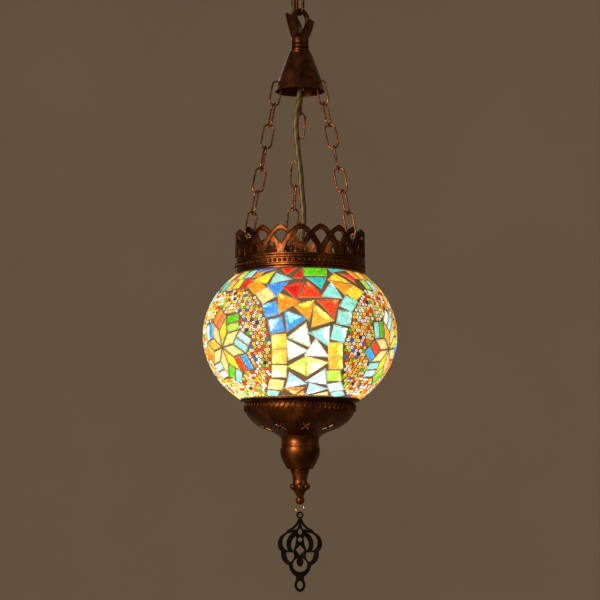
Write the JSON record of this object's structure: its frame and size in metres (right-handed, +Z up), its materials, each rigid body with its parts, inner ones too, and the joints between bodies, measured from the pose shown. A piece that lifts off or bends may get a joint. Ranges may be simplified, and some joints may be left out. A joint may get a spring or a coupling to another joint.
{
  "type": "mosaic glass pendant lamp",
  "caption": "Hanging lamp: a mosaic glass globe in an openwork metal crown, hung by three chains from a cone cap, with a pierced bowl, a finial and an openwork ornament below.",
  "frame": {"origin": "middle of the two ceiling screw holes, in the plane of the ceiling", "axes": "+Z up along the lamp's axis, -Y is the lamp's front, +X its right seen from the front"},
  "size_m": [0.18, 0.18, 0.6773],
  "materials": {
    "zinc_steel": "zinc plated",
    "aged_copper": "antique copper, dark in the recesses",
    "chain_copper": "antique copper wire",
    "white_plastic": "matt",
    "black_plastic": "matt",
    "cord_gold": "transparent gold sheath",
    "bulb_metal": "bright",
    "bulb_frosted": "frosted",
    "clear_glass": "clear blown glass",
    "mosaic_glass": "stained glass tiles and beads in grout",
    "silicone": "translucent silicone",
    "gold_wire": "gold plated",
    "black_iron": "black lacquer"
  },
  "bodies": {
    "ceiling": {"ceiling_bracket": "zinc_steel", "bracket_nut": "zinc_steel", "canopy_hook": "aged_copper", "canopy_nut": "aged_copper", "canopy_cover": "aged_copper", "cord_bush": "black_plastic", "terminal_block": "white_plastic", "cord_upper_1": "cord_gold"},
    "upper_link": {"top_chain_link_1": "aged_copper", "cord_upper_2": "cord_gold"},
    "lower_link": {"top_chain_link_2": "aged_copper", "cord_upper_3": "cord_gold"},
    "hanger": {"hanger_loop": "aged_copper", "cone_cap": "aged_copper", "hanger_nut": "zinc_steel", "cord_lower": "cord_gold"},
    "lamp": {"crown": "aged_copper", "crossbar": "zinc_steel", "crossbar_screws": "zinc_steel", "lampholder_nipple": "zinc_steel", "nipple_nut": "zinc_steel", "cord_grip": "black_plastic", "lampholder_cap": "black_plastic", "lampholder_body": "black_plastic", "mosaic_layer": "mosaic_glass", "globe_glass": "clear_glass", "top_seal": "silicone", "bowl": "aged_copper", "bottom_seal": "silicone", "urn": "aged_copper", "finial_rod": "zinc_steel", "finial_nut": "zinc_steel", "finial": "aged_copper"},
    "bulb_thread": {"bulb_contact": "bulb_metal"},
    "bulb": {"bulb_base": "bulb_metal", "bulb_glass": "bulb_frosted"},
    "pendant_ring": {"pendant_ring": "gold_wire"},
    "ornament": {"pendant_ornament": "black_iron"},
    "left_chain": {"left_chain_link_1": "chain_copper", "left_chain_link_2": "chain_copper", "left_chain_link_3": "chain_copper", "left_chain_link_4": "chain_copper", "left_chain_link_5": "chain_copper", "left_chain_link_6": "chain_copper", "left_chain_link_7": "chain_copper"},
    "right_chain": {"right_chain_link_1": "chain_copper", "right_chain_link_2": "chain_copper", "right_chain_link_3": "chain_copper", "right_chain_link_4": "chain_copper", "right_chain_link_5": "chain_copper", "right_chain_link_6": "chain_copper", "right_chain_link_7": "chain_copper"},
    "back_chain": {"back_chain_link_1": "chain_copper", "back_chain_link_2": "chain_copper", "back_chain_link_3": "chain_copper", "back_chain_link_4": "chain_copper", "back_chain_link_5": "chain_copper", "back_chain_link_6": "chain_copper", "back_chain_link_7": "chain_copper"}
  },
  "joints": [
    {"name": "hook_swing", "type": "hinge", "parent": "ceiling", "child": "upper_link", "pos_m": [0, 0, -0.0697], "axis": [-0.5736, 0.8192, 0], "range_deg": [-15, 15], "deforming": ["cord_upper_1"]},
    {"name": "link_swing", "type": "hinge", "parent": "upper_link", "child": "lower_link", "pos_m": [0, 0, -0.1039], "axis": [0.8192, 0.5736, 0], "range_deg": [-15, 15], "deforming": ["cord_upper_2"]},
    {"name": "loop_swing", "type": "hinge", "parent": "lower_link", "child": "hanger", "pos_m": [0, 0, -0.1385], "axis": [-0.5736, 0.8192, 0], "range_deg": [-15, 15], "deforming": ["cord_upper_3"]},
    {"name": "lamp_twist", "type": "hinge", "parent": "hanger", "child": "lamp", "pos_m": [0, 0, -0.3723], "axis": [0, 0, 1], "range_deg": [-3.5, 3.5], "stiffness_Nm_per_rad": 0.09, "deforming": ["cord_lower"]},
    {"name": "left_chain_lean", "type": "hinge", "parent": "hanger", "child": "left_chain", "pos_m": [-0.02066, -0.00964, -0.2052], "axis": [-0.7803, -0.5795, 0.2354], "range_deg": [-3, 3]},
    {"name": "right_chain_lean", "type": "hinge", "parent": "hanger", "child": "right_chain", "pos_m": [0.01868, -0.01308, -0.2052], "axis": [0.7928, -0.5634, 0.2326], "range_deg": [-3, 3]},
    {"name": "back_chain_lean", "type": "hinge", "parent": "hanger", "child": "back_chain", "pos_m": [0.00199, 0.02271, -0.2052], "axis": [-0.1624, 0.9603, 0.2269], "range_deg": [-3, 3]},
    {"name": "bulb_turn", "type": "hinge", "parent": "bulb_thread", "child": "bulb", "pos_m": [0, 0, -0.4584], "axis": [0, 0, -1], "range_deg": [0, 1440]},
    {"name": "bulb_travel", "type": "slide", "parent": "lamp", "child": "bulb_thread", "axis": [0, 0, -1], "range_m": [0, 0.01128]},
    {"name": "ring_swing", "type": "hinge", "parent": "lamp", "child": "pendant_ring", "pos_m": [0, 0, -0.5961], "axis": [-0.6691, 0.7431, 0], "range_deg": [-12, 12]},
    {"name": "ornament_swing", "type": "hinge", "parent": "pendant_ring", "child": "ornament", "pos_m": [0, 0, -0.6071], "axis": [-0.6691, 0.7431, 0], "range_deg": [-12, 12]}
  ],
  "couplings": [
    {"joint": "left_chain_lean", "follows": "lamp_twist", "ratio": 0.3805},
    {"joint": "right_chain_lean", "follows": "lamp_twist", "ratio": 0.3809},
    {"joint": "back_chain_lean", "follows": "lamp_twist", "ratio": 0.3639},
    {"joint": "bulb_turn", "follows": "bulb_travel", "rad_per_m": 2228.1}
  ]
}
